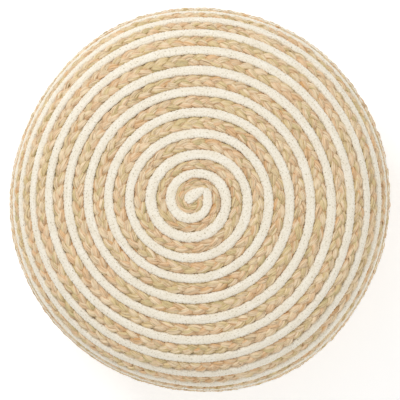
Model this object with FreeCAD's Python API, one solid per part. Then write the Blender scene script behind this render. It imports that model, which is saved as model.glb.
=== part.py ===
"""A round pouf: two braids, one of jute and one of cotton, wound side by side from the crown to the base.

The origin is the middle of the underside, on the floor, and +Z is up.
The braids' crests touch one smooth skin of revolution. Places on it are given by the arc distance from the
pole along the skin, the turn of the winding, clockwise from above, and the depth below the crests.
"""

import FreeCAD, Part

import math
import os

# Driving dimensions, in millimetres and degrees.
RADIUS = 225.0  # widest radius, at the girdle
GIRDLE_Z = 138.0  # height of the widest circle
CROWN_ARC_R = 785.0  # nearly flat top
SHOULDER_ARC_R = 81.0  # rounded upper edge
UPPER_SIDE_ARC_R = RADIUS  # from the shoulder down to the girdle
LOWER_SIDE_ARC_R = 165.0  # from the girdle down to the floor
SHOULDER_END = 75.0  # tilt of the skin where the shoulder meets the upper side

PITCH = 23.6  # one turn of both braids, along the skin
COTTON_SHARE = 0.42  # of the pitch, the rest is jute
FIRST_TURN_ARC = 30.2  # from the winding's eye to the cotton braid's inner edge at turn 0
EYE_SHIFT = 7.2  # the winding's eye lies this far towards -X
EYE_FADE_POWER = 8  # the shift fades out towards the girdle
COTTON_START = -1.25  # turn, a whole number of spans
JUTE_START = -1.5  # turn, a whole number of spans
BRAID_GAP = 0.4  # between neighbouring braids
JUTE_THICK = 8.0
COTTON_THICK = 7.0
NARROWEST_END = 5.0  # a braid is cut off where the last turn has pinched it to this width
SPANS_PER_TURN = 4  # the braids are lofted a span at a time
SECTIONS_PER_SPAN = 4
THREAD_HALF = 0.45  # half the side of the flat waxed thread's square section
THREAD_DEPTH = 7.2

LINING_DEPTH = 8.5  # top face of the cloth that the braids are sewn to
LINING_THICK = 1.0
LINING_HEM_Z = 2.0
LINER_DEPTH = 10.2  # inner bag
LINER_THICK = 0.8
LINER_SEAM_TILT = 50.0  # where the bag's top panel meets its side panel
LINER_SEAM_GAP = 0.1  # degrees of tilt
FILLING_DEPTH = 11.6

BASE_R = 144.0
BASE_THICK = 1.6
BASE_SPLIT = 0.2  # half the gap between the two halves beyond the zip
SLOT_HALF_LENGTH = 132.0
SLOT_HALF_WIDTH = 7.5
HEM_WIDTH = 9.0
HEM_THICK = 3.2
BASE_SEAM_R = 140.5
STITCH_LENGTH = 3.4
STITCH_STEP = 4.5
STITCH_THICK = 0.6
STITCH_LIFT = 0.05  # clear of the cloth

TAPE_Z = 4.9
TAPE_THICK = 0.5
TAPE_INNER_Y = 1.3
TAPE_OUTER_Y = 15.0
TAPE_HALF_LENGTH = 134.0
TOOTH_PITCH = 3.0
TOOTH_THICK = 2.4
TOOTH_FOOT_Y = 2.9
TOOTH_FOOT_LENGTH = 1.6
TOOTH_HEAD_LENGTH = 1.2
TOOTH_NECK_Y = 1.0
TOOTH_REACH_Y = 0.7  # past the zip's middle line
CHAIN_START_X = -124.0
STOP_LENGTH = 2.6

SLIDER_X = 108.0  # middle of the slider with the zip closed
SLIDER_HALF_LENGTH = 6.0
SLIDER_HALF_WIDTH = 4.7
PLATE_THICK = 0.9
PLATE_CLEARANCE = 0.3
FLANGE_WIDTH = 1.2
FLANGE_CLEARANCE = 0.35
WEDGE_LENGTH = 2.6
WEDGE_HALF_WIDTH = 0.95
BRIDGE_HALF_LENGTH = 2.9
BRIDGE_HALF_WIDTH = 0.8
BRIDGE_BAR_THICK = 0.8
BRIDGE_ROOM = 1.4  # between the slider and the bridge's bar
PULL_PIN_R = 0.45
PULL_THICK = 1.0
PULL_LENGTH = 15.5
PULL_HALF_WIDTH = 3.0
PULL_WINDOW_HALF_WIDTH = 1.5
PULL_WINDOW_END = 4.0
PULL_HOLE_R = 1.2

TUNNEL_HALF_LENGTH = 142.0  # dent over the zip in the inner bag
TUNNEL_HALF_WIDTH = 18.0
TUNNEL_TOP_Z = 8.2
LINER_BASE_Z = 2.4
LINER_BASE_R = 135.2
FILLING_BASE_Z = 3.6
FILLING_CLEARANCE = 0.4

ZIP_MID_Z = TAPE_Z + TAPE_THICK / 2
SLIDER_UNDERSIDE_Z = ZIP_MID_Z - TOOTH_THICK / 2 - PLATE_CLEARANCE - PLATE_THICK
PULL_AXIS_Z = SLIDER_UNDERSIDE_Z - BRIDGE_ROOM / 2
ALL_ROUND = 360
UP = FreeCAD.Vector(0, 0, 1)


def skin_arcs():
    """The skin's four arcs, from the pole down: centre radius, centre height, arc radius, first and last tilt."""
    tilt = math.radians(SHOULDER_END)
    shoulder_r = (UPPER_SIDE_ARC_R - SHOULDER_ARC_R) * math.sin(tilt) + RADIUS - UPPER_SIDE_ARC_R
    shoulder_z = (UPPER_SIDE_ARC_R - SHOULDER_ARC_R) * math.cos(tilt) + GIRDLE_Z
    crown_end = math.asin(shoulder_r / (CROWN_ARC_R - SHOULDER_ARC_R))
    crown_z = shoulder_z - (CROWN_ARC_R - SHOULDER_ARC_R) * math.cos(crown_end)
    floor_tilt = math.pi / 2 + math.asin(GIRDLE_Z / LOWER_SIDE_ARC_R)
    return [
        (0.0, crown_z, CROWN_ARC_R, 0.0, crown_end),
        (shoulder_r, shoulder_z, SHOULDER_ARC_R, crown_end, tilt),
        (RADIUS - UPPER_SIDE_ARC_R, GIRDLE_Z, UPPER_SIDE_ARC_R, tilt, math.pi / 2),
        (RADIUS - LOWER_SIDE_ARC_R, GIRDLE_Z, LOWER_SIDE_ARC_R, math.pi / 2, floor_tilt),
    ]


ARCS = skin_arcs()
SKIN_LENGTH = sum(radius * (last - first) for _, _, radius, first, last in ARCS)


def tilt_at(distance):
    """The arc that an arc distance from the pole falls on, and the skin's tilt there."""
    for arc in ARCS:
        _, _, radius, first, last = arc
        if distance <= radius * (last - first):
            return arc, first + distance / radius
        distance -= radius * (last - first)
    return arc, last + distance / radius


def skin_point(distance, depth):
    """(radius, height) at an arc distance from the pole and a depth below the braids' crests."""
    (centre_r, centre_z, radius, _, _), tilt = tilt_at(distance)
    reach = radius - depth
    return centre_r + reach * math.sin(tilt), centre_z + reach * math.cos(tilt)


def distance_at_radius(wanted):
    """The arc distance from the pole where the upper skin has a given radius."""
    passed = 0.0
    for centre_r, _, radius, first, last in ARCS[:3]:
        if wanted <= centre_r + radius * math.sin(last):
            return passed + radius * (math.asin((wanted - centre_r) / radius) - first)
        passed += radius * (last - first)
    return passed


def place(turn, distance, depth):
    """The point of the winding at a turn, an arc distance from the winding's eye, and a depth."""
    azimuth = -2 * math.pi * turn
    radius = skin_point(distance, 0)[0]
    if tilt_at(distance)[1] < math.pi / 2:
        x = radius * math.cos(azimuth) - EYE_SHIFT * (1 - (radius / RADIUS) ** EYE_FADE_POWER)
        y = radius * math.sin(azimuth)
        azimuth = math.atan2(y, x)
        distance = distance_at_radius(math.hypot(x, y))
    radius, height = skin_point(distance, depth)
    return FreeCAD.Vector(radius * math.cos(azimuth), radius * math.sin(azimuth), height)


def winding_line(turn, share):
    """Arc distance from the eye of the line that lies a share of the pitch outside the cotton's inner edge."""
    return min(FIRST_TURN_ARC + PITCH * (turn + share), SKIN_LENGTH)


def last_turn(share, width):
    """The last whole span at which a strip outside a line of the winding still has a width."""
    turn = (SKIN_LENGTH - FIRST_TURN_ARC - width) / PITCH - share
    return math.floor(turn * SPANS_PER_TURN) / SPANS_PER_TURN


def braid_section(turn, inner_share, outer_share, thick):
    """A braid's lens-shaped cross-section at a turn, lying on the lining."""
    inner = winding_line(turn, inner_share) + BRAID_GAP / 2
    outer = winding_line(turn, outer_share) - BRAID_GAP / 2
    depth = JUTE_THICK - thick / 2
    near, far = place(turn, inner, depth), place(turn, outer, depth)
    centre = (near + far) / 2
    across = (far - near).normalize()
    middle = (inner + outer) / 2
    out = place(turn, middle, 0) - place(turn, middle, JUTE_THICK)
    out = (out - across * out.dot(across)).normalize()
    half_thick = min(thick, (far - near).Length) / 2
    crest = Part.Arc(near, centre + out * half_thick, far).toShape()
    belly = Part.Arc(far, centre - out * half_thick, near).toShape()
    return Part.Wire([crest, belly])


def wound(first, last, section):
    """One closed solid that follows the winding, lofted a span at a time through section(turn)."""
    faces = [Part.Face(section(first)), Part.Face(section(last))]
    for span in range(round((last - first) * SPANS_PER_TURN)):
        shares = [step / (SECTIONS_PER_SPAN - 1) for step in range(SECTIONS_PER_SPAN)]
        sections = [section(first + (span + share) / SPANS_PER_TURN) for share in shares]
        faces += Part.makeLoft(sections, False, False).Faces
    shell = Part.makeShell(faces)
    shell.sewShape()
    solid = Part.makeSolid(shell)
    if solid.Volume < 0:
        solid.reverse()
    return solid


def jute_braid():
    last = last_turn(COTTON_SHARE, NARROWEST_END + BRAID_GAP)
    return wound(JUTE_START, last, lambda turn: braid_section(turn, COTTON_SHARE, 1, JUTE_THICK))


def cotton_braid():
    last = last_turn(0, NARROWEST_END + BRAID_GAP)
    return wound(COTTON_START, last, lambda turn: braid_section(turn, 0, COTTON_SHARE, COTTON_THICK))


def joining_thread(share):
    """The sewing thread in the groove under one of the two joints between the braids."""

    def section(turn):
        line = winding_line(turn, share)
        signs = [(-1, -1), (1, -1), (1, 1), (-1, 1)]
        corners = [
            place(turn, line + across * THREAD_HALF, THREAD_DEPTH + down * THREAD_HALF) for across, down in signs
        ]
        return Part.makePolygon(corners + corners[:1])

    return wound(COTTON_START + 1, last_turn(share, NARROWEST_END), section)


def meridian(depth, first_tilt, last_tilt):
    """The skin's arcs at a depth, from one tilt to another, as edges in the XZ plane."""
    edges = []
    for centre_r, centre_z, radius, first, last in ARCS:
        start, end = max(first, first_tilt), min(last, last_tilt)
        if last == ARCS[-1][4]:
            end = last_tilt
        if start >= end:
            continue
        points = [
            FreeCAD.Vector(
                centre_r + (radius - depth) * math.sin(tilt), 0, centre_z + (radius - depth) * math.cos(tilt)
            )
            for tilt in (start, (start + end) / 2, end)
        ]
        edges.append(Part.Arc(*points).toShape())
    return edges


def tilt_at_height(depth, height):
    """The lower side's tilt where the skin at a depth reaches a height."""
    return math.pi / 2 + math.asin((GIRDLE_Z - height) / (LOWER_SIDE_ARC_R - depth))


def turned(edges):
    """The solid that a closed chain of edges in the XZ plane makes when it is turned about Z."""
    wire = Part.Wire(Part.__sortEdges__(edges))
    return Part.Face(wire).revolve(FreeCAD.Vector(), UP, ALL_ROUND)


def ends(edges):
    """First and last point of a chain of meridian edges."""
    return edges[0].valueAt(edges[0].FirstParameter), edges[-1].valueAt(edges[-1].LastParameter)


def skin_shell(depth, thick, first_tilt, last_tilt_outer, last_tilt_inner):
    """A cloth of even thickness that follows the skin."""
    outer = meridian(depth, first_tilt, last_tilt_outer)
    inner = meridian(depth + thick, first_tilt, last_tilt_inner)
    joins = [Part.LineSegment(a, b).toShape() for a, b in zip(ends(outer), ends(inner))]
    return turned(outer + inner + joins)


def cover_lining():
    return skin_shell(
        LINING_DEPTH,
        LINING_THICK,
        0.0,
        tilt_at_height(LINING_DEPTH, LINING_HEM_Z),
        tilt_at_height(LINING_DEPTH + LINING_THICK, LINING_HEM_Z),
    )


def liner_top():
    seam = math.radians(LINER_SEAM_TILT - LINER_SEAM_GAP)
    return skin_shell(LINER_DEPTH, LINER_THICK, 0.0, seam, seam)


def liner_side():
    foot_z = LINER_BASE_Z + LINER_THICK + FILLING_CLEARANCE
    return skin_shell(
        LINER_DEPTH,
        LINER_THICK,
        math.radians(LINER_SEAM_TILT + LINER_SEAM_GAP),
        tilt_at_height(LINER_DEPTH, foot_z),
        tilt_at_height(LINER_DEPTH + LINER_THICK, foot_z),
    )


def box(x_from, x_to, y_from, y_to, z_from, z_to):
    return Part.makeBox(x_to - x_from, y_to - y_from, z_to - z_from, FreeCAD.Vector(x_from, y_from, z_from))


def tunnel(grow, top_z):
    """The space over the zip, grown outwards by a margin."""
    length, width = TUNNEL_HALF_LENGTH + grow, TUNNEL_HALF_WIDTH + grow
    return box(-length, length, -width, width, 0, top_z)


def liner_base():
    """The bag's round bottom, raised over the zip."""
    disc = Part.makeCylinder(LINER_BASE_R, LINER_THICK, FreeCAD.Vector(0, 0, LINER_BASE_Z))
    reach = Part.makeCylinder(LINER_BASE_R, TUNNEL_TOP_Z + LINER_THICK - LINER_BASE_Z)
    reach.translate(FreeCAD.Vector(0, 0, LINER_BASE_Z))
    raised = tunnel(LINER_THICK, TUNNEL_TOP_Z + LINER_THICK).common(reach)
    return disc.fuse(raised).cut(tunnel(0, TUNNEL_TOP_Z)).removeSplitter()


def filling():
    skin = meridian(FILLING_DEPTH, 0.0, tilt_at_height(FILLING_DEPTH, FILLING_BASE_Z))
    top, foot = ends(skin)
    floor = Part.LineSegment(foot, FreeCAD.Vector(0, 0, FILLING_BASE_Z)).toShape()
    axis = Part.LineSegment(FreeCAD.Vector(0, 0, FILLING_BASE_Z), top).toShape()
    grow = LINER_THICK + FILLING_CLEARANCE
    return turned(skin + [floor, axis]).cut(tunnel(grow, TUNNEL_TOP_Z + grow))


def both_sides(shape):
    """A shape on the +Y side and its mirror image on the -Y side."""
    return shape, shape.mirror(FreeCAD.Vector(), FreeCAD.Vector(0, 1, 0))


def base_panel():
    """The +Y half of the canvas underside, with its edge folded into a hem along the zip."""
    disc = Part.makeCylinder(BASE_R, BASE_THICK)
    half = disc.common(box(-BASE_R, BASE_R, BASE_SPLIT, BASE_R, 0, BASE_THICK))
    half = half.cut(box(-SLOT_HALF_LENGTH, SLOT_HALF_LENGTH, 0, SLOT_HALF_WIDTH, 0, BASE_THICK))
    hem_outer_y = SLOT_HALF_WIDTH + HEM_WIDTH
    hem = box(-SLOT_HALF_LENGTH, SLOT_HALF_LENGTH, SLOT_HALF_WIDTH, hem_outer_y, 0, HEM_THICK)
    return half.fuse(hem).removeSplitter()


def stitch_rows():
    """Places of the stitches that hold one tape to its hem: (x, y) of each stitch's start."""
    rows = [SLOT_HALF_WIDTH + 2, TAPE_OUTER_Y - 2]
    count = int(2 * (SLOT_HALF_LENGTH - STITCH_STEP) / STITCH_STEP)
    return [(-SLOT_HALF_LENGTH + STITCH_STEP * (n + 1), y) for y in rows for n in range(count)]


def zip_seam():
    z = TAPE_Z + TAPE_THICK + STITCH_LIFT
    stitches = [
        box(x, x + STITCH_LENGTH, y - STITCH_THICK / 2, y + STITCH_THICK / 2, z, z + STITCH_THICK)
        for x, y in stitch_rows()
    ]
    return Part.makeCompound(stitches)


def base_seam():
    """Stitches all round the base panel's edge, where the lining's hem is sewn to it."""
    count = int(2 * math.pi * BASE_SEAM_R / STITCH_STEP)
    sweep = math.degrees(STITCH_LENGTH / BASE_SEAM_R)
    low = BASE_THICK + STITCH_LIFT
    stitch = Part.makeCylinder(BASE_SEAM_R + STITCH_THICK / 2, STITCH_THICK, FreeCAD.Vector(0, 0, low), UP, sweep)
    stitch = stitch.cut(Part.makeCylinder(BASE_SEAM_R - STITCH_THICK / 2, STITCH_THICK, FreeCAD.Vector(0, 0, low)))
    stitches = []
    for n in range(count):
        copy = stitch.copy()
        copy.rotate(FreeCAD.Vector(), UP, ALL_ROUND * n / count)
        stitches.append(copy)
    return Part.makeCompound(stitches)


def zip_tape():
    return box(
        -TAPE_HALF_LENGTH, TAPE_HALF_LENGTH, TAPE_INNER_Y, TAPE_OUTER_Y, TAPE_Z, TAPE_Z + TAPE_THICK
    )


def tooth(x, tape):
    """One moulded tooth on the +Y tape: a foot that grips the tape's edge, and a head past the middle line."""
    low, high = ZIP_MID_Z - TOOTH_THICK / 2, ZIP_MID_Z + TOOTH_THICK / 2
    foot = box(x - TOOTH_FOOT_LENGTH / 2, x + TOOTH_FOOT_LENGTH / 2, TOOTH_NECK_Y, TOOTH_FOOT_Y, low, high)
    head = box(
        x - TOOTH_HEAD_LENGTH / 2, x + TOOTH_HEAD_LENGTH / 2, -TOOTH_REACH_Y, TOOTH_NECK_Y, low, high
    )
    return foot.fuse(head).cut(tape).removeSplitter()


def teeth(first_x):
    tape = zip_tape()
    count = int((SLIDER_X + SLIDER_HALF_LENGTH - WEDGE_LENGTH - first_x) / TOOTH_PITCH)
    return Part.makeCompound([tooth(first_x + TOOTH_PITCH * n, tape) for n in range(count)])


def zip_top_stops():
    """One block on each tape, ahead of the closed slider."""
    x = SLIDER_X + SLIDER_HALF_LENGTH + PLATE_CLEARANCE
    low, high = ZIP_MID_Z - TOOTH_THICK / 2, ZIP_MID_Z + TOOTH_THICK / 2
    block = box(x, x + STOP_LENGTH, TOOTH_NECK_Y, TOOTH_FOOT_Y + FLANGE_WIDTH, low, high).cut(zip_tape())
    return Part.makeCompound(both_sides(block))


def zip_bottom_stop():
    """The block that joins both tapes at the chain's other end."""
    x = CHAIN_START_X - TOOTH_PITCH
    low, high = ZIP_MID_Z - TOOTH_THICK / 2, ZIP_MID_Z + TOOTH_THICK / 2
    block = box(x - STOP_LENGTH, x, -TOOTH_FOOT_Y, TOOTH_FOOT_Y, low, high)
    for tape in both_sides(zip_tape()):
        block = block.cut(tape)
    return block


def zip_slider():
    """Two plates joined by a wedge at the front, with flanges beside the teeth and a bridge for the pull."""
    tail, nose = SLIDER_X - SLIDER_HALF_LENGTH, SLIDER_X + SLIDER_HALF_LENGTH
    inner = TOOTH_THICK / 2 + PLATE_CLEARANCE
    plate = box(tail, nose, -SLIDER_HALF_WIDTH, SLIDER_HALF_WIDTH, inner, inner + PLATE_THICK)
    flange_foot = TAPE_THICK / 2 + FLANGE_CLEARANCE
    half = plate
    for side in (-1, 1):
        edges = sorted((side * SLIDER_HALF_WIDTH, side * (SLIDER_HALF_WIDTH - FLANGE_WIDTH)))
        half = half.fuse(box(tail, nose, edges[0], edges[1], flange_foot, inner))
    other = half.mirror(FreeCAD.Vector(), UP)
    wedge = box(nose - WEDGE_LENGTH, nose, -WEDGE_HALF_WIDTH, WEDGE_HALF_WIDTH, -inner, inner)
    body = half.fuse(other).fuse(wedge)
    body.translate(FreeCAD.Vector(0, 0, ZIP_MID_Z))
    low, high = SLIDER_UNDERSIDE_Z - BRIDGE_ROOM - BRIDGE_BAR_THICK, SLIDER_UNDERSIDE_Z
    bridge = box(
        SLIDER_X - BRIDGE_HALF_LENGTH,
        SLIDER_X + BRIDGE_HALF_LENGTH,
        -BRIDGE_HALF_WIDTH,
        BRIDGE_HALF_WIDTH,
        low,
        high,
    )
    room_half = BRIDGE_HALF_LENGTH - BRIDGE_BAR_THICK
    room = box(
        SLIDER_X - room_half, SLIDER_X + room_half, -SLIDER_HALF_WIDTH, SLIDER_HALF_WIDTH, high - BRIDGE_ROOM, high
    )
    return body.fuse(bridge.cut(room)).removeSplitter()


def zip_pull():
    """The tab that hangs in the bridge: a pin, a window that goes round the bridge's legs, and a grip."""
    low = PULL_AXIS_Z - PULL_THICK / 2
    tip = SLIDER_X - PULL_LENGTH
    grip = box(tip, SLIDER_X, -PULL_HALF_WIDTH, PULL_HALF_WIDTH, low, low + PULL_THICK)
    corners = [edge for edge in grip.Edges if abs(edge.BoundBox.XMax - tip) < 1e-6 and edge.BoundBox.ZLength > 0.5]
    grip = grip.makeFillet(PULL_HALF_WIDTH * 0.8, corners)
    window = box(
        SLIDER_X - PULL_WINDOW_END,
        SLIDER_X + PULL_PIN_R,
        -PULL_WINDOW_HALF_WIDTH,
        PULL_WINDOW_HALF_WIDTH,
        low,
        low + PULL_THICK,
    )
    hole = Part.makeCylinder(PULL_HOLE_R, PULL_THICK, FreeCAD.Vector(tip + PULL_HALF_WIDTH, 0, low))
    pin_start = FreeCAD.Vector(SLIDER_X, -PULL_HALF_WIDTH, PULL_AXIS_Z)
    pin = Part.makeCylinder(PULL_PIN_R, 2 * PULL_HALF_WIDTH, pin_start, FreeCAD.Vector(0, 1, 0))
    return grip.cut(window).cut(hole).fuse(pin)


def export(name, shape):
    shape.exportStep(os.path.join("parts", name + ".step"))


def main():
    os.makedirs("parts", exist_ok=True)
    export("jute_braid", jute_braid())
    export("cotton_braid", cotton_braid())
    export("joining_thread_inner", joining_thread(0))
    export("joining_thread_outer", joining_thread(COTTON_SHARE))
    export("cover_lining", cover_lining())
    export("liner_top", liner_top())
    export("liner_side", liner_side())
    export("liner_base", liner_base())
    export("filling", filling())
    sided = {
        "base_panel": both_sides(base_panel()),
        "zip_tape": both_sides(zip_tape()),
        "zip_seam": both_sides(zip_seam()),
    }
    for name, (back, front) in sided.items():
        export(name + "_back", back)
        export(name + "_front", front)
    export("zip_teeth_back", teeth(CHAIN_START_X))
    export("zip_teeth_front", both_sides(teeth(CHAIN_START_X + TOOTH_PITCH / 2))[1])
    export("base_seam", base_seam())
    export("zip_top_stops", zip_top_stops())
    export("zip_bottom_stop", zip_bottom_stop())
    export("zip_slider", zip_slider())
    export("zip_pull", zip_pull())


main()
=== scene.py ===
"""Looks of the round braided pouf. Metres, +Z up, the origin in the middle of the underside, on the floor."""

import math

import bpy
import numpy as np
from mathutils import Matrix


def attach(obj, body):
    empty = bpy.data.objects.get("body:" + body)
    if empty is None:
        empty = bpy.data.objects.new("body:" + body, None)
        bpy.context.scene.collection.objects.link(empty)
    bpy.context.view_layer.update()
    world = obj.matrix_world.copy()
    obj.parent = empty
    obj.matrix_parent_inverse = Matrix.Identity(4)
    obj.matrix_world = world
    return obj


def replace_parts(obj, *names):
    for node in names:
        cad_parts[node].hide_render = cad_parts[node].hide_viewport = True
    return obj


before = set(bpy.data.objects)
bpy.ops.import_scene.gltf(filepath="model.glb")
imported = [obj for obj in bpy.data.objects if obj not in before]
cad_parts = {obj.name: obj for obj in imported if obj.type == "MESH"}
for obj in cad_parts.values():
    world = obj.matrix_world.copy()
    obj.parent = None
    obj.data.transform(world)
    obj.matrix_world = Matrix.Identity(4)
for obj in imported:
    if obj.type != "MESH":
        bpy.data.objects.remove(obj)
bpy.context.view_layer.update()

# The skin that the braids' crests touch, as in the CAD model.
RADIUS = 0.225
GIRDLE_Z = 0.138
CROWN_ARC_R = 0.785
SHOULDER_ARC_R = 0.081
UPPER_SIDE_ARC_R = RADIUS
LOWER_SIDE_ARC_R = 0.165
SHOULDER_END = math.radians(75)

# The winding of the two braids.
PITCH = 0.0236
COTTON_SHARE = 0.42
FIRST_TURN_ARC = 0.0302
EYE_SHIFT = 0.0072
EYE_FADE_POWER = 8
EYE_SPREAD = 0.005  # the first turns lie this much further out than an even spiral
EYE_SPREAD_END = 0.6  # turn at which that has faded out
EYE_SPREAD_TURNS = 1.6  # that it takes to fade
EYE_DRAW = 0.001  # and are drawn back this much towards the eye
EYE_OPENING = 0.0065  # the cotton's first end runs straight, so it stands this much off the tail
EYE_OPENING_REACH = 0.14  # turns
EYE_SWELL = 0.0010  # the first turns of cotton bulge this much over the jute on both sides
EYE_SWELL_END = 1.2  # turn
COTTON_START = -1.12
JUTE_START = -2.0
EYE_FILL_R = 0.021  # the brown end of the plait under the cotton's tail
EYE_FILL_DEPTH = 0.0028
BRAID_END_WIDTH = 0.005
BRAID_THICK = 0.008
BRAID_SAMPLES = 12000  # of a braid's line, for its length

# The jute plait.
STITCH = 0.0143  # from one lobe to the next on the same side
STRANDS = 3
PLAIT_PERIOD = STITCH * STRANDS
PLAIT_WIDTH = PITCH * (1 - COTTON_SHARE)
STRAND_HALF_WIDTH = 0.0042
STRAND_HALF_THICK = 0.0019
STRAND_SWING = 0.0039
STRAND_RISE = 0.0024
STRAND_SINK = 0.0006
PRESSED_SHARE = 0.78  # beyond this share of the half width the plait is pressed flat by the cotton
OVERLAP_SHARE = 0.99  # the plait's lobes reach this far over the cotton
JUTE_RING_STEP = 0.0021
JUTE_SIDES = 20
JUTE_TOP_DENSITY = 0.5  # more of the section's points lie on top, where they show
CREASE_DEPTH = 0.0005
CREASE_LENGTH = 0.016
EDGE_LIGHT = 0.0018  # the plait's edges are shaded as if they lay this much higher
FIBRES_PER_METRE = 150  # on each strand
FIBRE_REACH = (0.006, 0.02)
FIBRE_RADIUS = (0.00012, 0.00026)
FIBRE_STRAY = 0.0007
FIBRE_SIDE = 0.85  # share of the strand's half width within which fibres lie
FIBRE_SKEW = 0.16
FIBRE_MARGIN = 0.02  # clear of a part's ends
FIBRE_SHADE = -0.003  # no fibre is shaded as if it lay lower than this

# How uneven the plait's strands are: size, and length along the braid. Shares of the value, if not in metres.
PHASE_NOISE = (1.0, 0.07)
SWING_NOISE = (0.12, 0.03)
RISE_NOISE = (0.2, 0.05)
HEIGHT_NOISE = (0.0004, 0.02)  # metres
WIDTH_NOISE = (0.14, 0.02)
THICK_NOISE = (0.14, 0.025)
ROLL_NOISE = (0.2, 0.025)  # radians
STRAND_ROLL = -0.2
HIDDEN_WIDTH = 0.88  # share of a strand's width where it runs under another one
STRAND_ROUNDNESS = 2.3

# The bulk under the plait's lobes.
CORE_STEP = 0.004
CORE_SIDES = 8
CORE_HALF_WIDTH = 1.03  # in half widths of the plait
CORE_HEIGHT = -0.0054
CORE_HALF_THICK = 0.0024
CORE_ROUGH = 0.0004
CORE_SHADE = -0.0032  # it is shaded as if it lay at this height

# The cotton braid.
COTTON_WIDTH = PITCH * COTTON_SHARE
COTTON_HALF_THICK = 0.0033
COTTON_STITCH = 0.0036
COTTON_RINGS_PER_STITCH = 3
COTTON_SIDES = 20
COTTON_RELIEF = 0.0003
COTTON_SLANT = 0.0018
COTTON_ROUNDNESS = 3
COTTON_FULLNESS = 1.07  # the braid is this much wider than its strip
COTTON_WIDTH_NOISE = (0.05, 0.025)
COTTON_EDGE_NOISE = (0.07, 0.0024)
COTTON_LIFT = 0.0009
COTTON_LIFT_NOISE = (0.0004, 0.04)
TAIL_LIFT = 0.0008

# The cloth under the braids, the filled bag and the underside.
LINING_DEPTH = 0.0085
LINING_THICK = 0.001
BAG_DEPTH = 0.0102
BAG_BASE_Z = 0.0024
BAG_TUNNEL = (0.142, 0.018, 0.0090)  # half length, half width and top of the dent over the zip
BASE_R = 0.144
BASE_CLOTH = 0.0013
BASE_LIFT = 0.0003
HEM_CLOTH = 0.0028
HEM_WIDTH = 0.009
SLOT_HALF_LENGTH = 0.132
SLOT_HALF_WIDTH = 0.0075
BASE_SEAM_R = 0.1405
STITCH_LENGTH = 0.0034
STITCH_STEP = 0.0045
STITCH_RADIUS = 0.0003
TAPE_HALF_LENGTH = 0.134
TAPE_INNER_Y = 0.0013
TAPE_OUTER_Y = 0.015
TAPE_Z = 0.0049
TAPE_THICK = 0.0005
THREAD_HALF = 0.00045
THREAD_DEPTH = 0.0072
THREAD_ZIGZAG = 0.0012
THREAD_CORNERS = 9000

CAMERA_HEIGHT = GIRDLE_Z + 9 * RADIUS
OUTLINE_SHARE = 0.9565  # of the picture's width


def skin_arcs():
    """The skin's four arcs from the pole down: centre radius and height, arc radius, first and last tilt."""
    across, up = math.sin(SHOULDER_END), math.cos(SHOULDER_END)
    shoulder_r = (UPPER_SIDE_ARC_R - SHOULDER_ARC_R) * across + RADIUS - UPPER_SIDE_ARC_R
    shoulder_z = (UPPER_SIDE_ARC_R - SHOULDER_ARC_R) * up + GIRDLE_Z
    crown_end = math.asin(shoulder_r / (CROWN_ARC_R - SHOULDER_ARC_R))
    crown_z = shoulder_z - (CROWN_ARC_R - SHOULDER_ARC_R) * math.cos(crown_end)
    floor_tilt = math.pi / 2 + math.asin(GIRDLE_Z / LOWER_SIDE_ARC_R)
    return [
        (0.0, crown_z, CROWN_ARC_R, 0.0, crown_end),
        (shoulder_r, shoulder_z, SHOULDER_ARC_R, crown_end, SHOULDER_END),
        (RADIUS - UPPER_SIDE_ARC_R, GIRDLE_Z, UPPER_SIDE_ARC_R, SHOULDER_END, math.pi / 2),
        (RADIUS - LOWER_SIDE_ARC_R, GIRDLE_Z, LOWER_SIDE_ARC_R, math.pi / 2, floor_tilt),
    ]


ARCS = skin_arcs()
ARC_STARTS = np.cumsum([0.0] + [radius * (last - first) for _, _, radius, first, last in ARCS])
SKIN_LENGTH = ARC_STARTS[-1]


def skin_point(distance, height):
    """Radius, z and tilt at an arc distance from the pole and a height above the skin."""
    arc = np.clip(np.searchsorted(ARC_STARTS, distance, side="right") - 1, 0, len(ARCS) - 1)
    centre_r, centre_z, radius, first, _ = np.array(ARCS).T[:, arc]
    tilt = first + (distance - ARC_STARTS[arc]) / radius
    reach = radius + height
    return centre_r + reach * np.sin(tilt), centre_z + reach * np.cos(tilt), tilt


def distance_at_radius(wanted):
    """Arc distance from the pole where the upper skin has a given radius."""
    found = np.zeros_like(wanted)
    for start, (centre_r, _, radius, first, _) in list(zip(ARC_STARTS, ARCS))[:3]:
        reach = centre_r + radius * math.sin(first)
        share = np.clip((wanted - centre_r) / radius, -1, 1)
        found = np.where(wanted >= reach, start + radius * (np.arcsin(share) - first), found)
    return found


def wander(x, period, seed):
    """Smooth repeatable noise from -1 to 1 along x."""
    knots = np.random.default_rng(seed).uniform(-1, 1, 4096)
    cell = np.floor(x / period).astype(int)
    share = x / period - cell
    share = share * share * (3 - 2 * share)
    return knots[cell % 4096] * (1 - share) + knots[(cell + 1) % 4096] * share


# Lumps of the outline: waves round the pouf, size, phase.
OUTLINE_LUMPS = [(1, 0.0005, 1.9), (2, 0.0015, -1.6), (3, 0.0006, -2.1), (4, 0.0012, 0.0), (6, 0.0005, 1.8)]
# Sway of the winding: waves round the pouf, size, phase, and the phase's drift with distance from the eye.
WINDING_SWAY = [(1, 0.0010, 3.4, -10.3), (2, 0.0013, 0.3, 13.0), (3, 0.0002, 0.1, -15.5)]
SWAY_FREE_DISTANCE = 0.03  # the sway sets in at half this distance from the eye


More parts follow.
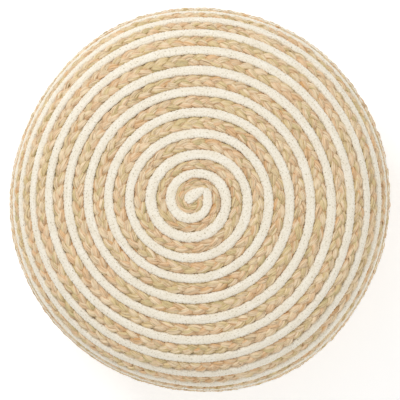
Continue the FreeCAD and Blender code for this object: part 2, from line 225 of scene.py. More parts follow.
def place(turn, distance, height):
    """Points of the winding at a turn, clockwise from above, an arc distance from its eye and a height."""
    azimuth = -2 * np.pi * turn
    sway = sum(
        size * np.sin(waves * azimuth + phase + drift * distance)
        for waves, size, phase, drift in WINDING_SWAY
    )
    distance = distance + sway * np.clip(distance / SWAY_FREE_DISTANCE - 0.5, 0, 1)
    radius, _, tilt = skin_point(distance, 0)
    upper = tilt < np.pi / 2
    x = radius * np.cos(azimuth) - EYE_SHIFT * (1 - (radius / RADIUS) ** EYE_FADE_POWER)
    y = radius * np.sin(azimuth)
    azimuth = np.where(upper, np.arctan2(y, x), azimuth)
    distance = np.where(upper, distance_at_radius(np.hypot(x, y)), distance)
    radius, z, tilt = skin_point(distance, height)
    lumps = sum(size * np.sin(waves * azimuth + phase) for waves, size, phase in OUTLINE_LUMPS)
    radius = radius + lumps * np.sin(tilt) ** 2 * np.clip(z / GIRDLE_Z, 0, 1)
    return np.stack([radius * np.cos(azimuth), radius * np.sin(azimuth), z], axis=-1)


def winding_line(turn, share):
    """Arc distance from the eye of the line a share of the pitch outside the cotton's inner edge."""
    spread = EYE_SPREAD * np.clip(-(turn + share - EYE_SPREAD_END) / EYE_SPREAD_TURNS, 0, 1)
    spread = spread - EYE_DRAW * np.clip(1 - turn - share, 0, 1)
    nearest_cotton = turn + np.interp(share, [COTTON_SHARE, 1], [0, 1])
    outward = np.interp(share, [0, COTTON_SHARE, 1], [-1, 1, -1])
    swell = EYE_SWELL * np.clip(EYE_SWELL_END - nearest_cotton, 0, 1) * outward
    straight = np.clip(1 - np.abs(turn - COTTON_START) / EYE_OPENING_REACH, 0, 1)
    opening = EYE_OPENING * straight * np.interp(share, [0, COTTON_SHARE, 1], [1, 0.5, 0])
    line = FIRST_TURN_ARC + PITCH * (turn + share) + spread + swell + opening
    return np.clip(line, EYE_SWELL, SKIN_LENGTH)


class Braid:
    """The strip of the skin that one braid fills. Its own coordinates are along, across and height."""

    def __init__(self, first_turn, inner_share, outer_share):
        self.inner_share, self.outer_share = inner_share, outer_share
        last_turn = (SKIN_LENGTH - FIRST_TURN_ARC - BRAID_END_WIDTH) / PITCH - inner_share
        self.turns = np.linspace(first_turn, last_turn, BRAID_SAMPLES)
        middle, _ = self.strip(self.turns)
        points = place(self.turns, middle, np.full_like(middle, -BRAID_THICK / 2))
        steps = np.linalg.norm(np.diff(points, axis=0), axis=1)
        self.along = np.concatenate([[0], np.cumsum(steps)])
        self.length = self.along[-1]

    def strip(self, turn):
        """The strip's middle line and its width."""
        inner, outer = winding_line(turn, self.inner_share), winding_line(turn, self.outer_share)
        return (inner + outer) / 2, outer - inner

    def turn_at(self, along):
        return np.interp(along, self.along, self.turns)

    def bent(self, along, across, height):
        """Points of the braid laid along its strip. Across is in shares of half the strip's width."""
        turn = self.turn_at(along)
        middle, width = self.strip(turn)
        return place(turn, middle + across * width / 2, height)


def tube_mesh(name, rings, strand):
    """A closed tube through rings[ring, side, xyz], with the strand's own coordinates on its points."""
    count, sides = rings.shape[:2]
    index = np.arange(count * sides).reshape(count, sides)
    near, far = index[:-1], index[1:]
    quads = np.stack(
        [near, np.roll(near, -1, axis=1), np.roll(far, -1, axis=1), far], axis=-1
    ).reshape(-1, 4)
    return linked_mesh(name, rings, quads.tolist() + [index[0][::-1].tolist(), index[-1].tolist()], strand)


def linked_mesh(name, points, faces, strand):
    """A smooth mesh in the scene, with the strand's own coordinates on its points."""
    mesh = bpy.data.meshes.new(name)
    mesh.from_pydata(points.reshape(-1, 3).tolist(), [], faces)
    layer = mesh.attributes.new("strand", "FLOAT_VECTOR", "POINT")
    layer.data.foreach_set("vector", strand.reshape(-1).astype(np.float32))
    mesh.polygons.foreach_set("use_smooth", np.ones(len(faces), bool))
    mesh.update()
    obj = bpy.data.objects.new(name, mesh)
    bpy.context.scene.collection.objects.link(obj)
    return obj


def many_tubes(name, rings, strand):
    """Many short closed tubes through rings[tube, ring, side, xyz] as one mesh."""
    tubes, knots, sides = rings.shape[:3]
    index = np.arange(tubes * knots * sides).reshape(tubes, knots, sides)
    near, far = index[:, :-1], index[:, 1:]
    quads = np.stack([near, np.roll(near, -1, axis=2), np.roll(far, -1, axis=2), far], axis=-1).reshape(-1, 4)
    caps = index[:, 0, ::-1].tolist() + index[:, -1].tolist()
    return linked_mesh(name, rings, quads.tolist() + caps, strand)


def section_angles(sides, top_density=0.0):
    angle = np.linspace(0, 2 * np.pi, sides, endpoint=False)
    return angle + top_density * np.cos(angle)


def rounded_box(angle, power):
    """A unit superellipse: flatter than an ellipse where power is above 2."""
    c, s = np.cos(angle), np.sin(angle)
    return np.sign(c) * np.abs(c) ** (2 / power), np.sign(s) * np.abs(s) ** (2 / power)


def pressed(share):
    """Shares of the half width that run on to any size, held in by the neighbouring braids."""
    room = OVERLAP_SHARE - PRESSED_SHARE
    beyond = np.maximum(np.abs(share) - PRESSED_SHARE, 0)
    return np.sign(share) * (np.minimum(np.abs(share), PRESSED_SHARE) + room * np.tanh(beyond / room))


def creases(along, sides, length, seed):
    """Noise along each of a tube's sides."""
    return np.stack([wander(along, length, seed + side) for side in range(sides)], axis=1)


def uneven(along, noise, seed):
    size, length = noise
    return size * wander(along, length, seed)


class Strand:
    """The middle line and size of one of the plait's three strands, at places along the braid."""

    def __init__(self, number, along):
        seed = 100 * (number + 1)
        phase = 2 * np.pi * (along / PLAIT_PERIOD + number / STRANDS) + uneven(along, PHASE_NOISE, 7)
        self.number, self.along, self.seed = number, along, seed
        self.lobe = np.sin(2 * phase)
        self.across = STRAND_SWING * (1 + uneven(along, SWING_NOISE, seed)) * np.sin(phase)
        self.height = STRAND_RISE * (1 + uneven(along, RISE_NOISE, seed + 5)) * self.lobe
        self.height += uneven(along, HEIGHT_NOISE, seed + 1) - BRAID_THICK / 2 - STRAND_SINK
        swell = HIDDEN_WIDTH + (1 - HIDDEN_WIDTH) * np.clip(self.lobe, 0, 1)
        swell += uneven(along, WIDTH_NOISE, seed + 2)
        self.half_width = STRAND_HALF_WIDTH * swell
        self.half_thick = STRAND_HALF_THICK * (1 + uneven(along, THICK_NOISE, seed + 3))
        self.roll = STRAND_ROLL * np.sin(phase) + uneven(along, ROLL_NOISE, seed + 4)

    def points(self, braid, slope, climb, wide, thick):
        """Points at an offset over the strand's width and thickness, and the height that shades them."""
        turned_wide = wide * np.cos(self.roll) - thick * np.sin(self.roll)
        turned_thick = wide * np.sin(self.roll) + thick * np.cos(self.roll)
        size = np.sqrt(1 + slope**2)
        along = self.along - turned_wide * slope / size - turned_thick * climb
        across = pressed((self.across + turned_wide / size) / (PLAIT_WIDTH / 2))
        height = self.height + turned_thick
        light = height + EDGE_LIGHT * across**4
        return braid.bent(np.clip(along, 0, braid.length), across, height), light


def jute_strand(braid, number, part, first, last):
    """One of the plait's three strands, between two places along the braid."""
    along = np.linspace(first, last, int((last - first) / JUTE_RING_STEP))
    line = Strand(number, along[:, None])
    slope = np.gradient(line.across[:, 0], along)[:, None]
    climb = np.gradient(line.height[:, 0], along)[:, None]
    angle = section_angles(JUTE_SIDES, JUTE_TOP_DENSITY)
    wide, thick = rounded_box(angle, STRAND_ROUNDNESS)
    crease = CREASE_DEPTH * creases(along, JUTE_SIDES, CREASE_LENGTH, line.seed + 10)
    wide = line.half_width * wide + crease * np.cos(angle)
    thick = line.half_thick * thick + crease * np.sin(angle)
    rings, light = line.points(braid, slope, climb, wide, thick)
    fibre_along = np.broadcast_to(line.along + number * braid.length, light.shape)
    strand = np.stack([fibre_along, np.broadcast_to(wide, light.shape), light], axis=-1)
    return tube_mesh(f"jute_strand_{number + 1}_{part}", rings, strand)


def jute_fibres(braid, part, first, last, per_metre):
    """Loose fibres that lie on the plait's lobes and stray a little from them."""
    luck = np.random.default_rng(int(1000 * first) + 5)
    count = int((last - first) * per_metre)
    knots, sides = 6, 3
    rings = []
    strands = []
    for number in range(STRANDS):
        start = luck.uniform(first + FIBRE_MARGIN, last - FIBRE_MARGIN, count)
        reach = luck.uniform(*FIBRE_REACH, count)
        along = start[:, None] + reach[:, None] * np.linspace(-0.5, 0.5, knots)
        line = Strand(number, along)
        slope = np.gradient(line.across, axis=1) / np.gradient(along, axis=1)
        climb = np.gradient(line.height, axis=1) / np.gradient(along, axis=1)
        side = luck.uniform(-FIBRE_SIDE, FIBRE_SIDE, count)[:, None]
        side = side + luck.normal(0, FIBRE_SKEW, (count, 1)) * np.linspace(-1, 1, knots)
        lift = np.sqrt(np.clip(1 - side**2, 0.1, 1))
        stray = luck.uniform(0.0, FIBRE_STRAY, count)[:, None] * np.linspace(-0.4, 1, knots) ** 2
        thickness = luck.uniform(*FIBRE_RADIUS, count)[:, None]
        for corner in section_angles(sides):
            wide = line.half_width * side + thickness * np.cos(corner)
            thick = line.half_thick * lift + stray + thickness * (0.6 + np.sin(corner))
            points, light = line.points(braid, slope, climb, wide, thick)
            rings.append(points)
            tone = np.broadcast_to(50 + 7 * start[:, None], light.shape)
            strands.append(np.stack([tone, wide, np.maximum(light, FIBRE_SHADE)], axis=-1))
    rings = np.array(rings).reshape(STRANDS, sides, count, knots, 3).transpose(0, 2, 3, 1, 4)
    strands = np.array(strands).reshape(STRANDS, sides, count, knots, 3).transpose(0, 2, 3, 1, 4)
    flat = (-1, knots, sides, 3)
    return many_tubes(f"jute_fibres_{part}", rings.reshape(flat), strands.reshape(flat))


def jute_core(braid, part, first, last):
    """The strands' bulk under the lobes, which shows as brown in the notches of the plait."""
    along = np.linspace(first, last, int((last - first) / CORE_STEP))
    angle = section_angles(CORE_SIDES)
    flat_wide = CORE_HALF_WIDTH * np.sign(np.cos(angle)) * np.abs(np.cos(angle)) ** 0.5
    wide = np.broadcast_to(flat_wide, (len(along), len(angle)))
    height = CORE_HEIGHT + CORE_HALF_THICK * np.sin(angle)
    height = height + CORE_ROUGH * creases(along, len(angle), 0.01, 700)
    rings = braid.bent(np.broadcast_to(along[:, None], wide.shape), wide, height)
    light = np.full_like(height, CORE_SHADE)
    strand = np.stack([np.broadcast_to(along[:, None], wide.shape), wide * PLAIT_WIDTH / 2, light], axis=-1)
    return tube_mesh(f"jute_core_{part}", rings, strand)


def jute_eye():
    """The plait's tucked-in end, which shows as brown round the cotton's tail."""
    turn = np.linspace(0, 1, 48, endpoint=False)[None]
    distance = np.linspace(0.001, EYE_FILL_R, 12)[:, None]
    spread = distance + 0 * turn
    rough = 0.0005 * wander(spread * 40 + turn * 30, 0.3, 720)
    top = place(turn, spread, -EYE_FILL_DEPTH + rough)
    under = place(turn, spread, -BRAID_THICK + 0 * spread)
    rings = np.concatenate([top, under[::-1]])
    strand = np.stack([spread + 0.02 * turn, spread, np.full_like(spread, -EYE_FILL_DEPTH)], axis=-1)
    return tube_mesh("jute_core_eye", rings, np.concatenate([strand, strand[::-1]]))


def herringbone(along, half_width, half_thick):
    """Width, height and lead of the rings of a tube with slanted stitches in relief."""
    angle = section_angles(COTTON_SIDES)
    wide, thick = rounded_box(angle, COTTON_ROUNDNESS)
    column = np.arange(COTTON_SIDES) % 4
    lead = COTTON_SLANT * np.array([0, 0.5, 1, 0.5])[column]
    groove = np.array([-0.5, 0.25, -0.5, 0.25])[column]
    beat = np.cos(2 * np.pi * np.arange(len(along)) / COTTON_RINGS_PER_STITCH)
    puff = COTTON_RELIEF * (beat[:, None] + groove) + 0.00022 * creases(along, COTTON_SIDES, 0.005, 900)
    return (half_width[:, None] + puff) * wide, (half_thick + puff) * thick, lead


def cotton_part(braid, part, first, last):
    """A stretch of the cotton braid."""
    step = COTTON_STITCH / COTTON_RINGS_PER_STITCH
    along = first + step * np.arange(int((last - first) / step) + 1)
    fullness = COTTON_FULLNESS + uneven(along, COTTON_WIDTH_NOISE, 31) + uneven(along, COTTON_EDGE_NOISE, 33)
    half_width = COTTON_WIDTH / 2 * fullness
    wide, thick, lead = herringbone(along, half_width, COTTON_HALF_THICK)
    ring_height = thick - BRAID_THICK + COTTON_HALF_THICK + COTTON_LIFT
    ring_height += uneven(along, COTTON_LIFT_NOISE, 32)[:, None]
    ring_along = np.clip(along[:, None] + lead, 0, braid.length)
    rings = braid.bent(ring_along, wide / (COTTON_WIDTH / 2), ring_height)
    strand = np.stack([ring_along, wide, ring_height], axis=-1)
    return tube_mesh(f"cotton_braid_{part}", rings, strand)


# The cotton braid's tucked-in start: its middle line in plan and its half width there.
COTTON_TAIL = [
    (0.0070, 0.0118, 0.0022),
    (0.0025, 0.0106, 0.0040),
    (-0.0030, 0.0084, 0.0060),
    (-0.0085, 0.0042, 0.0066),
    (-0.0130, 0.0006, 0.0060),
    (-0.0160, -0.0022, 0.0032),
]


def cotton_tail():
    """The short flat start of the cotton braid that fills the eye of the winding."""
    plan = np.array(COTTON_TAIL)
    steps = np.linalg.norm(np.diff(plan[:, :2], axis=0), axis=1)
    reach = np.concatenate([[0], np.cumsum(steps)])
    along = np.arange(0, reach[-1], COTTON_STITCH / COTTON_RINGS_PER_STITCH)
    smooth = np.polyfit(reach, plan, 4)
    centre_x, centre_y, half_width = (np.polyval(smooth[:, k], along) for k in range(3))
    heading = np.arctan2(np.gradient(centre_y), np.gradient(centre_x))
    fill = np.sqrt(np.clip(np.minimum(along / 0.004 + 0.3, (reach[-1] - along) / 0.004), 0.04, 1))
    wide, thick, lead = herringbone(along, half_width * fill, COTTON_HALF_THICK)
    crown_z = ARCS[0][1] + CROWN_ARC_R
    x = centre_x[:, None] - wide * np.sin(heading)[:, None] + lead * np.cos(heading)[:, None]
    y = centre_y[:, None] + wide * np.cos(heading)[:, None] + lead * np.sin(heading)[:, None]
    z = crown_z - BRAID_THICK + COTTON_HALF_THICK + TAIL_LIFT + thick * fill[:, None]
    rings = np.stack([x, y, z], axis=-1)
    strand = np.stack([np.broadcast_to(along[:, None], x.shape), wide, z - crown_z], axis=-1)
    return tube_mesh("cotton_braid_tail", rings, strand)


def joining_thread(name, share):
    """The flat thread that zigzags in the groove under one of the joints between the braids."""
    last = (SKIN_LENGTH - FIRST_TURN_ARC - BRAID_END_WIDTH) / PITCH - share
    turns = np.linspace(COTTON_START + 1, last, THREAD_CORNERS)
    zigzag = THREAD_ZIGZAG * np.where(np.arange(len(turns)) % 2, 1, -1)
    line = winding_line(turns, share) + zigzag
    corners = [(-1, -1), (1, -1), (1, 1), (-1, 1)]
    rings = np.stack(
        [place(turns, line + out * THREAD_HALF, up * THREAD_HALF - THREAD_DEPTH) for out, up in corners],
        axis=1,
    )
    return tube_mesh(name, rings, np.zeros_like(rings))


def dome_rings(depth, wrinkle, seed, count=70, sides=144):
    """Rings of a cloth that follows the skin at a depth, from the pole to the floor."""
    turn = np.linspace(0, 1, sides, endpoint=False)
    distance = np.linspace(0.001, SKIN_LENGTH - 0.004, count)[:, None]
    folds = wrinkle * (wander(turn * 2 * np.pi * RADIUS, 0.018, seed)[None] * np.sin(distance * 25))
    sag = wrinkle * wander(distance, 0.03, seed + 1)
    return place(turn[None], distance + 0 * turn[None], -depth - wrinkle + folds * 0.5 + sag * 0.5)


def cover_lining():
    outer = dome_rings(LINING_DEPTH, 0.0002, 40)
    inner = dome_rings(LINING_DEPTH + LINING_THICK, 0.0002, 40)
    rings = np.concatenate([outer, inner[::-1]])
    return tube_mesh("cover_lining_cloth", rings, np.zeros_like(rings))


def filled_bag():
    """The bag with its filling: it follows the lining, and its flat base is dented over the zip."""
    skin = dome_rings(BAG_DEPTH, 0.0005, 60)
    skin[..., 2] = np.maximum(skin[..., 2], BAG_BASE_Z)
    shrink = np.linspace(0.99, 0.01, 60)[:, None, None]
    base = skin[-1][None] * shrink
    half_length, half_width, top = BAG_TUNNEL
    over_zip = (np.abs(base[..., 0]) < half_length) & (np.abs(base[..., 1]) < half_width)
    base[..., 2] = np.where(over_zip, top, BAG_BASE_Z + 0.0004 * np.sin(90 * base[..., 0]) ** 2)
    rings = np.concatenate([skin, base])
    return tube_mesh("filled_bag", rings, np.zeros_like(rings))


def base_panel(name, side):
    """Half of the canvas underside: side is 1 at the back and -1 at the front."""
    columns, rows = 240, 44
    sweep = np.pi * np.arange(columns + 1) / columns
    x = -BASE_R * np.cos(sweep)[:, None]
    slot = np.clip((SLOT_HALF_LENGTH - np.abs(x)) / 0.001 + 0.5, 0, 1)
    inner = 0.0002 + (SLOT_HALF_WIDTH - 0.0002) * slot
    outer = np.maximum(BASE_R * np.sin(sweep)[:, None], inner + 0.0004)
    y = inner + (outer - inner) * (np.linspace(0, 1, rows + 1) ** 1.4)[None]
    x = np.broadcast_to(x, y.shape)
    radius = np.hypot(x, y)
    around = np.arctan2(y, x) * BASE_SEAM_R / STITCH_STEP
    puckers = 1 + 0.5 * np.cos(2 * np.pi * around)
    dents = 0.0003 * np.exp(-(((radius - BASE_SEAM_R) / 0.0016) ** 2)) * puckers
    between = 1 + 0.5 * np.cos(2 * np.pi * x / STITCH_STEP)
    for row in seam_rows():
        dents += 0.00025 * slot * np.exp(-(((y - row) / 0.0009) ** 2)) * between
    drape = 0.00035 * (1 + np.sin(61 * x + 23 * y + side) * np.sin(47 * y - 31 * x)) * (radius < 0.138)
    low = BASE_LIFT + dents + drape
    in_hem = np.clip((SLOT_HALF_WIDTH + HEM_WIDTH - y) / 0.0008 + 0.5, 0, 1) * slot
    high = low + BASE_CLOTH + (HEM_CLOTH - BASE_CLOTH) * in_hem
    under = np.stack([x, side * y, low], axis=-1)
    over = np.stack([x, side * y, high], axis=-1)
    rings = np.concatenate([under, over[:, ::-1]], axis=1)
    if side > 0:
        rings = rings[:, ::-1]
    return tube_mesh(name, rings, np.zeros_like(rings))


def zip_tape(name, side):
    """One of the zip's woven tapes, with a thicker edge that the teeth grip."""
    x = np.linspace(-TAPE_HALF_LENGTH, TAPE_HALF_LENGTH, 200)[:, None]
    y = np.linspace(TAPE_INNER_Y, TAPE_OUTER_Y, 12)[None]
    wave = 0.00012 * np.sin(180 * x + side) * np.clip((y - 0.004) / 0.01, 0, 1)
    half = TAPE_THICK / 2 * (1 + 0.3 * (y < 0.0026))
    mid = TAPE_Z + TAPE_THICK / 2 + wave
    flat_x, flat_y = np.broadcast_to(x, mid.shape), side * np.broadcast_to(y, mid.shape)
    under = np.stack([flat_x, flat_y, mid - half], axis=-1)
    over = np.stack([flat_x, flat_y, mid + half], axis=-1)
    rings = np.concatenate([under, over[:, ::-1]], axis=1)
    if side > 0:
        rings = rings[:, ::-1]
    return tube_mesh(name, rings, np.zeros_like(rings))


def seam_rows():
    """The two rows of stitches that hold a tape to its hem, by their distance from the zip's middle."""
    return [SLOT_HALF_WIDTH + 0.002, TAPE_OUTER_Y - 0.002]


def stitches(name, middles, headings, depth_sign):
    """Short thread loops whose ends dip into the cloth. Middles are points, headings are angles."""
    knots, sides = 7, 6
    reach = np.linspace(-0.5, 0.5, knots)
    dip = depth_sign * STITCH_RADIUS * 1.4 * (2 * reach) ** 4
    angle = section_angles(sides)
    radius = STITCH_RADIUS * np.sqrt(np.clip(1.15 - (2 * reach) ** 6, 0.1, 1))[:, None]
    local_x = np.broadcast_to(reach[:, None] * STITCH_LENGTH, (knots, sides))
    local_y = radius * np.cos(angle)
    local_z = dip[:, None] + radius * np.sin(angle)
    cosine, sine = np.cos(headings)[:, None, None], np.sin(headings)[:, None, None]
    points = np.stack(
        [
            middles[:, 0, None, None] + local_x * cosine - local_y * sine,
            middles[:, 1, None, None] + local_x * sine + local_y * cosine,
            middles[:, 2, None, None] + local_z,
        ],
        axis=-1,
    )
    return many_tubes(name, points, np.zeros_like(points))


def zip_stitches(name, side, z, depth_sign):
    count = int(2 * (SLOT_HALF_LENGTH - STITCH_STEP) / STITCH_STEP)
    x = -SLOT_HALF_LENGTH + STITCH_STEP * (np.arange(count) + 1) + STITCH_LENGTH / 2
    rows = [np.stack([x, np.full_like(x, side * y), np.full_like(x, z)], axis=1) for y in seam_rows()]
    middles = np.concatenate(rows)
    tilt = 0.06 * np.sin(np.arange(len(middles)) * 2.3)
    return stitches(name, middles, tilt, depth_sign)


def base_stitches(name, z, depth_sign):
    count = int(2 * np.pi * BASE_SEAM_R / STITCH_STEP)
    azimuth = 2 * np.pi * np.arange(count) / count
    x, y = BASE_SEAM_R * np.cos(azimuth), BASE_SEAM_R * np.sin(azimuth)
    middles = np.stack([x, y, np.full(count, z)], axis=1)
    return stitches(name, middles, azimuth + np.pi / 2, depth_sign)


def softened(node, name, bevel):
    """A copy of a CAD piece with its edges rounded off."""
    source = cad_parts[node]
    obj = bpy.data.objects.new(name, source.data.copy())
    bpy.context.scene.collection.objects.link(obj)
    weld = obj.modifiers.new("weld", "WELD")
    weld.merge_threshold = 0.00001
    rounding = obj.modifiers.new("rounding", "BEVEL")
    rounding.width = bevel
    rounding.segments = 2
    rounding.limit_method = "ANGLE"
    return obj


# Materials


class Nodes:
    """A short way to build a material's node tree."""

    def __init__(self, name):
        self.material = bpy.data.materials.new(name)
        self.material.use_nodes = True
        self.tree = self.material.node_tree
        self.shader = self.tree.nodes["Principled BSDF"]

    def add(self, kind, inputs=None, **settings):
        node = self.tree.nodes.new("ShaderNode" + kind)
        for key, value in settings.items():
            setattr(node, key, value)
        for key, value in (inputs or {}).items():
            self.set(node, key, value)
        return node

    def set(self, node, key, value):
        if isinstance(value, bpy.types.NodeSocket):
            self.tree.links.new(value, node.inputs[key])
        elif node.inputs[key].type == "RGBA":
            node.inputs[key].default_value = (*value[:3], 1)
        else:
            node.inputs[key].default_value = value

    def scaled(self, vector, scale):
        return self.add("Mapping", {"Vector": vector, "Scale": scale}).outputs[0]

    def noise(self, vector, detail=3.0, roughness=0.5):
        inputs = {"Vector": vector, "Scale": 1.0, "Detail": detail, "Roughness": roughness}
        return self.add("TexNoise", inputs).outputs[0]

    def ramp(self, value, stops):
        node = self.add("ValToRGB", {"Fac": value})
        elements = node.color_ramp.elements
        while len(elements) < len(stops):
            elements.new(0.5)
        for element, (position, colour) in zip(elements, stops):
            element.position = position
            element.color = (*colour, 1)
        return node.outputs[0]

    def mix(self, share, first, second, blend="MIX"):
        node = self.add("Mix", {0: share}, data_type="RGBA", blend_type=blend)
        self.set(node, 6, first)
        self.set(node, 7, second)
        return node.outputs[2]

    def math(self, operation, first, second=0.0):
        return self.add("Math", {0: first, 1: second}, operation=operation).outputs[0]

    def bump(self, height, strength, distance, normal=None):
        inputs = {"Height": height, "Strength": strength, "Distance": distance}
        if normal is not None:
            inputs["Normal"] = normal
        return self.add("Bump", inputs).outputs[0]


def from_srgb(red, green, blue):
    """Linear colour of an sRGB colour given from 0 to 255."""
    values = np.array([red, green, blue]) / 255
    return tuple(np.where(values <= 0.04045, values / 12.92, ((values + 0.055) / 1.055) ** 2.4).tolist())


def jute_material():
    n = Nodes("jute")
    strand = n.add("Attribute", attribute_name="strand").outputs["Vector"]
    depth = n.add("SeparateXYZ", {0: strand}).outputs[2]
    patches = n.noise(n.scaled(strand, (14, 90, 0)), 3.0, 0.62)
    tone = n.ramp(
        patches,
        [
            (0.32, from_srgb(211, 195, 147)),
            (0.43, from_srgb(230, 206, 156)),
            (0.50, from_srgb(246, 225, 192)),
            (0.57, from_srgb(238, 204, 164)),
            (0.69, from_srgb(226, 178, 120)),
        ],
    )
    streaks = n.noise(n.scaled(strand, (50, 650, 0)), 3.0, 0.7)
    shade = n.ramp(streaks, [(0.30, (0.34, 0.26, 0.16)), (0.44, (0.84, 0.80, 0.74)), (0.58, (1, 1, 1))])
    colour = n.mix(0.85, tone, shade, "MULTIPLY")
    splits = n.noise(n.scaled(strand, (110, 1500, 0)), 2.0, 0.6)
    split_shade = n.ramp(splits, [(0.32, (0.50, 0.40, 0.26)), (0.43, (1, 1, 1))])
    colour = n.mix(0.7, colour, split_shade, "MULTIPLY")
    # Painted shade: the plait is coloured darker brown the lower its shading height lies, in the recesses and
    # slits between the lobes.
    painted_recess_shade = n.add("MapRange", {0: depth, 1: -0.0050, 2: -0.0030, 3: 0.0, 4: 1.0}).outputs[0]
    deep_shade, half_shade = from_srgb(120, 88, 48), from_srgb(215, 195, 165)
    shadow = n.ramp(painted_recess_shade, [(0.0, deep_shade), (0.6, half_shade), (1.0, (1, 1, 1))])
    colour = n.mix(0.9, colour, shadow, "MULTIPLY")
    fine = n.noise(n.scaled(strand, (150, 3600, 0)), 3.0, 0.6)
    n.set(n.shader, "Base Color", colour)
    n.shader.inputs["Roughness"].default_value = 0.6
    n.shader.inputs["Specular IOR Level"].default_value = 0.4
    n.shader.inputs["Sheen Weight"].default_value = 0.1
    ridges = n.bump(streaks, 0.8, 0.0008)
    n.set(n.shader, "Normal", n.bump(fine, 0.5, 0.0003, ridges))
    return n.material


def cotton_material():
    n = Nodes("cotton")
    strand = n.add("Attribute", attribute_name="strand").outputs["Vector"]
    patches = n.noise(n.scaled(strand, (55, 200, 0)), 2.0)
    tone = n.ramp(patches, [(0.3, from_srgb(240, 230, 210)), (0.7, from_srgb(248, 241, 226))])
    # Sparse grey-brown specks: partly seed bits in the cotton, partly painted shade of the gaps between the
    # stitches.
    flecks = n.noise(n.scaled(strand, (420, 560, 0)), 2.0, 0.7)
    dark_speck_and_stitch_shade, pale_fleck = from_srgb(158, 146, 116), from_srgb(240, 238, 232)
    specks_and_stitch_shade = n.ramp(flecks, [(0.27, dark_speck_and_stitch_shade), (0.40, pale_fleck), (0.5, (1, 1, 1))])
    colour = n.mix(0.8, tone, specks_and_stitch_shade, "MULTIPLY")
    fibres = n.noise(n.scaled(strand, (900, 2600, 0)), 4.0, 0.65)
    n.set(n.shader, "Base Color", colour)
    n.shader.inputs["Roughness"].default_value = 0.85
    n.shader.inputs["Specular IOR Level"].default_value = 0.2
    n.shader.inputs["Sheen Weight"].default_value = 0.2
    n.set(n.shader, "Normal", n.bump(fibres, 0.5, 0.0003))
    return n.material


def woven_material(name, colour, thread_step, roughness=0.85):
    """A plain weave: two sets of threads that pass over each other, in the piece's own x and y."""
    n = Nodes(name)
    position = n.add("TexCoord").outputs["Object"]
    turns = math.pi / thread_step
    warp = n.add("SeparateXYZ", {0: n.scaled(position, (turns, turns, turns))})
    over = n.math("MULTIPLY", n.math("SINE", warp.outputs[0]), n.math("SINE", warp.outputs[1]))
    height = n.math("ABSOLUTE", over)
    slubs = n.noise(n.scaled(position, (90, 900, 400)), 3.0)
    dark = tuple(0.72 * channel for channel in colour)
    tone = n.mix(slubs, dark, colour)
    shade = n.ramp(height, [(0.0, (0.6, 0.6, 0.6)), (0.5, (1, 1, 1))])
    n.set(n.shader, "Base Color", n.mix(0.7, tone, shade, "MULTIPLY"))
    n.shader.inputs["Roughness"].default_value = roughness
    n.shader.inputs["Specular IOR Level"].default_value = 0.25
    n.set(n.shader, "Normal", n.bump(height, 0.6, thread_step / 3))
    return n.material


def thread_material():
    n = Nodes("sewing_thread")
    position = n.add("TexCoord").outputs["Object"]
    twist = n.noise(n.scaled(position, (2500, 2500, 2500)), 2.0)
    tone = n.ramp(twist, [(0.3, from_srgb(205, 190, 160)), (0.7, from_srgb(236, 226, 204))])
    n.set(n.shader, "Base Color", tone)
    n.shader.inputs["Roughness"].default_value = 0.6
    n.set(n.shader, "Normal", n.bump(twist, 0.4, 0.0002))
    return n.material


def hard_material(name, colour, metallic, roughness, grain):
    """Moulded plastic or cast metal with a fine uneven surface."""
    n = Nodes(name)
    position = n.add("TexCoord").outputs["Object"]
    pits = n.noise(n.scaled(position, (grain, grain, grain)), 4.0, 0.6)
    # The colour is darker where the noise that also sets the bump's pits is low.
    darker_in_pits = tuple(0.75 * channel for channel in colour)
    n.set(n.shader, "Base Color", n.mix(pits, darker_in_pits, colour))
    n.shader.inputs["Metallic"].default_value = metallic
    rough = n.add("MapRange", {0: pits, 1: 0.3, 2: 0.7, 3: roughness - 0.08, 4: roughness + 0.1}).outputs[0]
    n.set(n.shader, "Roughness", rough)
    n.set(n.shader, "Normal", n.bump(pits, 0.3, 0.0001))
    return n.material


def floor_material():
    n = Nodes("floor")
    n.shader.inputs["Base Color"].default_value = (0.95, 0.95, 0.95, 1)
    n.shader.inputs["Roughness"].default_value = 0.9
    n.shader.inputs["Emission Color"].default_value = (1, 1, 1, 1)
    n.shader.inputs["Emission Strength"].default_value = 0.25
    return n.material


# Pieces

JUTE_PARTS = ["crown", "shoulder", "girdle", "foot"]
COTTON_PARTS = ["crown", "shoulder", "girdle", "foot"]


def dress(obj, material, body):
    obj.data.materials.clear()
    obj.data.materials.append(material)
    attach(obj, body)
    return obj


def part_limits(braid, names):
    limits = np.linspace(0, braid.length, len(names) + 1)
    return list(zip(names, limits[:-1], limits[1:]))


def make_jute():
    braid = Braid(JUTE_START, COTTON_SHARE, 1)
    material = jute_material()
    for part, first, last in part_limits(braid, JUTE_PARTS):
        for number in range(STRANDS):
            strand = jute_strand(braid, number, part, first, last)
            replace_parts(dress(strand, material, "pouf"), "jute_braid")
        core = jute_core(braid, part, first, last)
        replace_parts(dress(core, material, "pouf"), "jute_braid")
        fibres = jute_fibres(braid, part, first, last, FIBRES_PER_METRE)
        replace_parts(dress(fibres, material, "pouf"), "jute_braid")
    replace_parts(dress(jute_eye(), material, "pouf"), "jute_braid")


def make_cotton():
    braid = Braid(COTTON_START, 0, COTTON_SHARE)
    material = cotton_material()
    for part, first, last in part_limits(braid, COTTON_PARTS):
        piece = cotton_part(braid, part, first, last)
        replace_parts(dress(piece, material, "pouf"), "cotton_braid")
    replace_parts(dress(cotton_tail(), material, "pouf"), "cotton_braid")


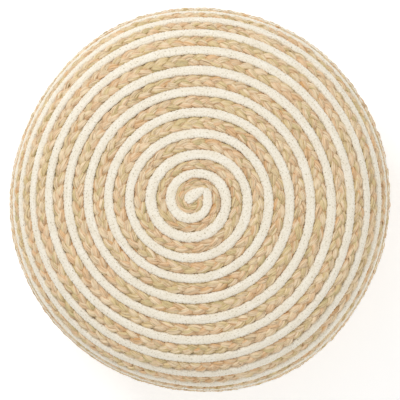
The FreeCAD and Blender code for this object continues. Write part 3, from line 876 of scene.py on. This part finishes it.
def make_threads():
    material = thread_material()
    for name, share in (("joining_thread_inner", 0), ("joining_thread_outer", COTTON_SHARE)):
        thread = joining_thread(name + "_zigzag", share)
        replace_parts(dress(thread, material, "pouf"), name)
    for side, label in ((1, "back"), (-1, "front")):
        outside = zip_stitches(f"zip_stitches_{label}_outside", side, BASE_LIFT + STITCH_RADIUS, 1)
        inside = zip_stitches(f"zip_stitches_{label}_inside", side, TAPE_Z + TAPE_THICK + STITCH_RADIUS, -1)
        for piece in (outside, inside):
            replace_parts(dress(piece, material, "pouf"), f"zip_seam_{label}")
    outside = base_stitches("base_stitches_outside", BASE_LIFT + STITCH_RADIUS, 1)
    inside = base_stitches("base_stitches_inside", BASE_CLOTH + 2 * BASE_LIFT + 2 * STITCH_RADIUS, -1)
    for piece in (outside, inside):
        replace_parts(dress(piece, material, "pouf"), "base_seam")


def make_inside():
    lining_cloth = woven_material("lining_cloth", from_srgb(190, 160, 115), 0.0009)
    lining = dress(cover_lining(), lining_cloth, "pouf")
    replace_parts(lining, "cover_lining")
    bag_cloth = woven_material("inner_bag", from_srgb(236, 232, 222), 0.0007)
    bag = dress(filled_bag(), bag_cloth, "pouf")
    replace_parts(bag, "liner_top", "liner_side", "liner_base", "filling")


def make_underside():
    canvas = woven_material("canvas", from_srgb(222, 208, 180), 0.0009)
    tape_cloth = woven_material("zip_tape", from_srgb(228, 216, 190), 0.0005)
    for side, label in ((1, "back"), (-1, "front")):
        panel = dress(base_panel(f"base_canvas_{label}", side), canvas, "pouf")
        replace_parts(panel, f"base_panel_{label}")
        tape = dress(zip_tape(f"zip_woven_tape_{label}", side), tape_cloth, "pouf")
        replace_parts(tape, f"zip_tape_{label}")


def make_zip():
    plastic = hard_material("zip_plastic", from_srgb(226, 216, 192), 0.0, 0.4, 900)
    metal = hard_material("zip_metal", from_srgb(196, 190, 178), 1.0, 0.34, 1500)
    for node in ("zip_teeth_back", "zip_teeth_front", "zip_top_stops", "zip_bottom_stop"):
        piece = dress(softened(node, node + "_rounded", 0.00018), plastic, "pouf")
        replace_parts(piece, node)
    slider = dress(softened("zip_slider", "zip_slider_cast", 0.00025), metal, "slider")
    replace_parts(slider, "zip_slider")
    pull = dress(softened("zip_pull", "zip_pull_cast", 0.00022), metal, "pull")
    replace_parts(pull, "zip_pull")


def make_camera():
    camera = bpy.data.objects.new("camera", bpy.data.cameras.new("camera"))
    bpy.context.scene.collection.objects.link(camera)
    camera.location = (0, 0, CAMERA_HEIGHT)
    outline = RADIUS / math.sqrt((CAMERA_HEIGHT - GIRDLE_Z) ** 2 - RADIUS**2)
    camera.data.lens = camera.data.sensor_width / 2 * OUTLINE_SHARE / outline
    bpy.context.scene.camera = camera


def area_light(name, place_at, size, power):
    light = bpy.data.objects.new(name, bpy.data.lights.new(name, "AREA"))
    light.data.size = size
    light.data.energy = power
    light.location = place_at
    bpy.context.scene.collection.objects.link(light)
    aim = bpy.data.objects.new(name + "_aim", None)
    track = light.constraints.new("TRACK_TO")
    aim.location = (0, 0, GIRDLE_Z)
    bpy.context.scene.collection.objects.link(aim)
    track.target = aim
    track.track_axis = "TRACK_NEGATIVE_Z"
    track.up_axis = "UP_Y"
    return light


def make_studio():
    world = bpy.data.worlds.new("studio")
    world.use_nodes = True
    background = world.node_tree.nodes["Background"]
    background.inputs["Color"].default_value = (1, 1, 1, 1)
    background.inputs["Strength"].default_value = 0.70
    bpy.context.scene.world = world
    area_light("key", (-0.9, 1.1, 1.7), 0.8, 15)
    area_light("fill", (1.3, -0.6, 1.5), 1.6, 5)
    mesh = bpy.data.meshes.new("floor")
    far = 6
    mesh.from_pydata([(-far, -far, 0), (far, -far, 0), (far, far, 0), (-far, far, 0)], [], [(0, 1, 2, 3)])
    floor = bpy.data.objects.new("floor", mesh)
    bpy.context.scene.collection.objects.link(floor)
    mesh.materials.append(floor_material())
    bpy.context.scene.view_settings.view_transform = "Standard"


make_camera()
make_studio()
make_jute()
make_cotton()
make_threads()
make_inside()
make_underside()
make_zip()
